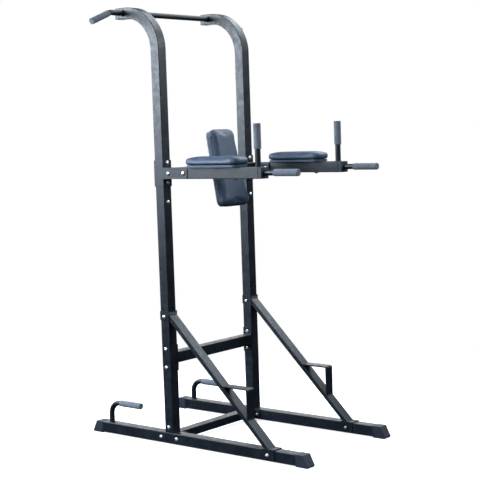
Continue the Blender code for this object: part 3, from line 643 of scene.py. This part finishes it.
# ---------------------------------------------------------------- welds
def bead(start, end):
    """One straight weld bead, with the ripples of the puddle."""
    start, end = Vector(start), Vector(end)
    length = (end - start).length
    rings = max(3, round(length / RIPPLE))
    bpy.ops.mesh.primitive_circle_add(vertices=10, radius=BEAD * 0.7, fill_type="NGON")
    piece = bpy.context.object
    edit(piece)
    for ring in range(rings):
        swell = SWELL if ring % 2 == 0 else 1 / SWELL
        extrude(0, 0, length / rings)
        bpy.ops.transform.resize(value=(swell, swell, 1))
    done()
    aim(piece, start, end - start)
    return piece


def ring_bead(place, direction, radius):
    """A weld bead round a tube."""
    bpy.ops.mesh.primitive_torus_add(major_radius=radius, minor_radius=BEAD, major_segments=48,
                                     minor_segments=8)
    piece = bpy.context.object
    edit(piece, "VERT")
    bpy.ops.transform.vertex_random(offset=0.35 * MM, seed=5)
    done()
    aim(piece, place, direction)
    return piece


def weld(name, beads):
    piece = join_all(beads)
    finish_piece(piece, name, WELD, (), 60)


def frame_welds():
    for tag, side in SIDES:
        x = side * SIDE_X
        left, right = x - HALF + WELD_SHORT, x + HALF - WELD_SHORT
        for bar in ("floor_crossbar", "mid_crossbar"):
            face = side * (high(bar).x - END_PLATE)
            if bar == "floor_crossbar":
                top, height = high(bar).z, FLOOR_BAR_HEIGHT
            else:
                top, height = middle(bar).z + HALF, 2 * HALF
            bottom = top - height
            front, back = UPRIGHT_Y - HALF, UPRIGHT_Y + HALF
            beads = [bead((face, front, bottom + CORNER), (face, front, top - CORNER)),
                     bead((face, back, bottom + CORNER), (face, back, top - CORNER))]
            if bar == "mid_crossbar":
                beads += [bead((face, front + CORNER, top), (face, back - CORNER, top)),
                          bead((face, front + CORNER, bottom), (face, back - CORNER, bottom))]
            weld(f"{bar}_weld_{tag}", beads)
        ends = ((high(f"step_{tag}"), -WELD_OUT), (low(f"step_{tag}"), WELD_OUT))
        weld(f"step_weld_{tag}",
             [bead((left, end.y, end.z + shift), (right, end.y, end.z + shift))
              for end, shift in ends])
        face = UPRIGHT_Y - SLEEVE_OUT
        weld(f"brace_top_weld_{tag}",
             [bead((left, face, BRACE_WELD_Z), (right, face, BRACE_WELD_Z))])
        weld(f"push_up_weld_{tag}",
             [ring_bead((x, PUSH_Y - ROD, RAIL_TOP), (0, 0, 1), ROD + WELD_OUT)])
        weld(f"post_weld_{tag}",
             [ring_bead((x, POST_Y, ARM_Z + HALF), (0, 0, 1), ROD + WELD_OUT)])
        weld(f"pull_up_weld_{tag}",
             [ring_bead((x - HALF, BAR_Y, HOOK_Z), (1, 0, 0), ROD + WELD_OUT),
              ring_bead((x + HALF, BAR_Y, HOOK_Z), (1, 0, 0), ROD + WELD_OUT)])


# ---------------------------------------------------------------- cushions
def spread(points, direction):
    """Lowest and highest place of the points along a direction."""
    places = [point.dot(direction) for point in points]
    return min(places), max(places)


def fit_to(piece, solid, directions):
    """Stretches a cushion to fill its solid's space; it crowns along the last direction."""
    for direction in directions:
        start, end = spread([vertex.co for vertex in piece.data.vertices], direction)
        low_end, high_end = spread([vertex.co for vertex in solid.data.vertices], direction)
        if direction is directions[-1]:
            high_end += CROWN
        for vertex in piece.data.vertices:
            share = (vertex.co.dot(direction) - start) / (end - start)
            wanted = low_end + share * (high_end - low_end)
            vertex.co += direction * (wanted - vertex.co.dot(direction))


def cushion(name, node, directions):
    """Vinyl over foam: the solid is shrunk, remeshed, inflated as cloth, and smoothed.

    The directions are square to each other, and the last one points away from the board."""
    solid = NODES[node]
    outward = directions[-1]
    piece = copy_of(solid)
    edit(piece, "VERT")
    bpy.ops.mesh.remove_doubles(threshold=MERGE)
    done()
    centre = middle(node)
    piece.data.transform(Matrix.Translation(centre) @ Matrix.Scale(SHRINK, 4)
                         @ Matrix.Translation(-centre))
    modify(piece, "REMESH", mode="VOXEL", voxel_size=VOXEL, use_smooth_shade=True)
    start = [vertex.co.copy() for vertex in piece.data.vertices]
    board_side = spread(start, outward)[0] + HELD
    held = piece.vertex_groups.new(name="on_board")
    held.add([i for i, place in enumerate(start) if place.dot(outward) < board_side], 1.0,
             "REPLACE")
    cloth = piece.modifiers.new("inflate", "CLOTH")
    cloth.settings.use_pressure = True
    cloth.settings.uniform_pressure_force = PRESSURE
    cloth.settings.effector_weights.gravity = 0.0
    cloth.settings.vertex_group_mass = held.name
    cloth.settings.tension_stiffness = 15
    cloth.settings.bending_stiffness = 0.6
    for step in range(1, CLOTH_STEPS + 1):
        bpy.context.scene.frame_set(step)
    use(piece)
    bpy.ops.object.modifier_apply(modifier=cloth.name)
    bpy.context.scene.frame_set(1)
    for vertex, before in zip(piece.data.vertices, start):
        moved = vertex.co - before
        if moved.length > PUFF_LIMIT:
            vertex.co = before + moved.normalized() * PUFF_LIMIT
    modify(piece, "SMOOTH", iterations=14, factor=0.6)
    modify(piece, "SUBSURF", levels=1, render_levels=1)
    fit_to(piece, solid, directions)
    finish_piece(piece, name, VINYL, (node,), 180)


def cushions():
    across = Vector((1, 0, 0))
    for tag, _ in SIDES:
        cushion(f"arm_cushion_{tag}", f"arm_pad_{tag}",
                (across, Vector((0, 1, 0)), Vector((0, 0, 1))))
    cushion("back_cushion", "back_pad", (across, BACK_UP, BACK_AHEAD))


def staples(name, node, across, along, behind):
    """Wire staples round the board's back, through the turned-in hem of the vinyl."""
    points = [vertex.co for vertex in NODES[node].data.vertices]
    back = max(point.dot(behind) for point in points)
    rear = [point for point in points if point.dot(behind) > back - 0.1 * MM]
    (left, right), (foot, head) = spread(rear, across), spread(rear, along)
    rows = ((along, across, left, right, foot + STAPLE_INSET),
            (along, across, left, right, head - STAPLE_INSET),
            (across, along, foot, head, left + STAPLE_INSET),
            (across, along, foot, head, right - STAPLE_INSET))
    made = []
    for line, turn, start, end, place in rows:
        run = end - start - 2 * STAPLE_END
        count = round(run / STAPLE_PITCH) + 1
        facing = Matrix((turn, behind.cross(turn), behind)).transposed().to_4x4()
        for i in range(count):
            where = start + STAPLE_END + run * i / max(count - 1, 1)
            bpy.ops.mesh.primitive_cube_add(size=1)
            piece = bpy.context.object
            piece.scale = STAPLE_SIZE
            use(piece)
            bpy.ops.object.transform_apply(scale=True)
            modify(piece, "BEVEL", width=0.4 * MM, segments=3)
            centre = turn * where + line * place + behind * (back + 0.1 * MM)
            piece.matrix_world = Matrix.Translation(centre) @ facing
            use(piece)
            bpy.ops.object.transform_apply(location=True, rotation=True, scale=True)
            made.append(piece)
    finish_piece(join_all(made), name, WIRE, (), 40)


# ---------------------------------------------------------------- camera, floor and light
def camera():
    place = (-4.4659, -3.7244, 1.4303)
    yaw, pitch, roll = radians(50.557), radians(-5.034), radians(-1.932)
    forward = Vector((cos(pitch) * sin(yaw), cos(pitch) * cos(yaw), sin(pitch)))
    level = Vector((cos(yaw), -sin(yaw), 0))
    upright = level.cross(forward)
    across = level * cos(roll) + upright * sin(roll)
    above = upright * cos(roll) - level * sin(roll)
    lens = bpy.data.cameras.new("camera")
    lens.lens = 94.0
    lens.sensor_width = 36.0
    made = bpy.data.objects.new("camera", lens)
    bpy.context.scene.collection.objects.link(made)
    turn = Matrix((across, above, -forward)).transposed().to_4x4()
    made.matrix_world = Matrix.Translation(place) @ turn
    bpy.context.scene.camera = made


def softbox(name, place, power, size, aim_height, tint):
    light = bpy.data.lights.new(name, "AREA")
    light.energy = power
    light.shape = "RECTANGLE"
    light.size, light.size_y = size
    light.color = tint
    made = bpy.data.objects.new(name, light)
    bpy.context.scene.collection.objects.link(made)
    toward = Vector((0, 0, aim_height)) - Vector(place)
    turn = toward.to_track_quat("-Z", "Y").to_matrix().to_4x4()
    made.matrix_world = Matrix.Translation(place) @ turn


def floor():
    """Pale seamless paper, which turns plain white away from the object."""
    made, tree, shader, place = new_material("seamless_paper", 0.9)
    fibre = noise(tree, place, 40 * MM).outputs["Fac"]
    coloured(tree, shader, fibre, "#f4f4f4", "#f8f8f8")
    shader.inputs["Emission Color"].default_value = (1, 1, 1, 1)
    shader.inputs["Emission Strength"].default_value = PAPER_GLOW
    away = add(tree, "VectorMath", {0: place}, operation="LENGTH").outputs["Value"]
    white = add(tree, "Emission", {"Color": (1, 1, 1, 1), "Strength": 1.0}).outputs["Emission"]
    fade = add(tree, "MixShader", {0: between(tree, away, 0.0, 1.0, FADE_START, FADE_END),
                                   1: shader.outputs["BSDF"], 2: white}).outputs["Shader"]
    tree.links.new(fade, tree.nodes["Material Output"].inputs["Surface"])
    bpy.ops.mesh.primitive_plane_add(size=60, location=(0, 0, -0.5 * MM))
    ground = bpy.context.object
    ground.name = "studio_floor"
    ground.data.materials.append(made)
    ground.visible_glossy = False
    ground.visible_diffuse = False


def surroundings():
    """White to the camera; what it casts on the object is dim, and dark from below."""
    world = bpy.data.worlds.new("studio")
    bpy.context.scene.world = world
    world.use_nodes = True
    tree = world.node_tree
    sky = tree.nodes["Background"]
    facing = add(tree, "TexCoord", {}).outputs["Generated"]
    up = add(tree, "SeparateXYZ", {"Vector": facing}).outputs["Z"]
    glow = between(tree, up, 0.02, 0.45, -0.05, 0.70)
    seen = add(tree, "LightPath", {}).outputs["Is Camera Ray"]
    strength = add(tree, "Mix", {"Factor": seen}, data_type="FLOAT")
    tree.links.new(glow, strength.inputs[2])
    strength.inputs[3].default_value = 1.0
    tree.links.new(strength.outputs[0], sky.inputs["Strength"])
    sky.inputs["Color"].default_value = (1, 1, 1, 1)


# ---------------------------------------------------------------- the whole tower
def whole_tower():
    """Every piece but the bolts, welds and cushions.

    The pull-up bar, and the joiners inside the uprights, are shown as their own solids."""
    for tag, side in SIDES:
        x = side * SIDE_X
        hooked_upright(tag, side)
        push_up_tube(tag, side)
        rod(f"post_tube_{tag}", (x, POST_Y, low(f"handle_post_{tag}").z),
            (x, POST_Y, high(f"handle_post_{tag}").z), (f"handle_post_{tag}",))
        dip = (low(f"dip_bar_{tag}"), high(f"dip_bar_{tag}"))
        rod(f"dip_tube_{tag}", (x, dip[0].y, ARM_Z), (x, dip[1].y, ARM_Z), (f"dip_bar_{tag}",))

        post = (low(f"post_grip_{tag}"), high(f"post_grip_{tag}"))
        grip(f"post_grip_{tag}", (x, POST_Y, post[0].z), (0, 0, 1),
             (post[1].x - post[0].x) / 2, post[1].z - post[0].z)
        for kind in ("dip_grip", "push_up_grip"):
            near, far = low(f"{kind}_{tag}"), high(f"{kind}_{tag}")
            grip(f"{kind}_{tag}", (x, far.y, (near.z + far.z) / 2), (0, -1, 0),
                 (far.x - near.x) / 2, far.y - near.y)
        inner = BAR_BEND_X + BAR_BEND_RADIUS * tan(BAR_DROOP / 2) * cos(BAR_DROOP)
        inner += GRIP_PAST_BEND
        radius = (high(f"pull_up_grip_{tag}").y - low(f"pull_up_grip_{tag}").y) / 2
        tip = high("pull_up_grip_r").x - (radius - GRIP_EDGE) * sin(BAR_DROOP)
        along = Vector((side * cos(BAR_DROOP), 0, -sin(BAR_DROOP)))
        drop = (inner - BAR_BEND_X) * tan(BAR_DROOP)
        grip(f"pull_up_grip_{tag}", (side * inner, BAR_Y, HOOK_Z - drop), along, radius,
             (tip - inner) / cos(BAR_DROOP))

        for node, edge in (("floor_rail", 0.4), ("lower_upright", 0.4), ("arm_tube", 0.4),
                           ("arm_bracket", 0.6), ("brace", 0.6), ("step", 0.7)):
            refined(f"{node}_{tag}", COAT, edge * MM)
        for node, plastic in (("foot_cap_front", FOOT_PLASTIC), ("foot_cap_rear", FOOT_PLASTIC),
                              ("arm_end_cap", FOOT_PLASTIC), ("upright_end_cap", END_PLASTIC)):
            refined(f"{node}_{tag}", plastic, 0.5 * MM, f"{node}_moulding_{tag}")
        wrapped_board(f"arm_pad_board_{tag}", f"arm_board_{tag}", Vector((0, 0, -1)))
    for node in ("floor_crossbar", "mid_crossbar", "back_crossbar", "back_pad_bracket"):
        refined(node, COAT, 0.6 * MM)
    wrapped_board("back_pad_board", "back_board", -BACK_AHEAD)
    staples("back_staples", "back_pad_board", Vector((1, 0, 0)), BACK_UP, -BACK_AHEAD)
    for tag, _ in SIDES:
        joiner = NODES[f"upright_joiner_{tag}"]
        joiner.data.materials.clear()
        joiner.data.materials.append(COAT)


camera()
floor()
surroundings()
for light in LIGHTS:
    softbox(*light)
whole_tower()
all_bolts()
frame_welds()
cushions()
for model in (HEAD_MODEL, NUT_MODEL):
    bpy.data.objects.remove(model, do_unlink=True)
bpy.context.scene.view_settings.view_transform = "Standard"
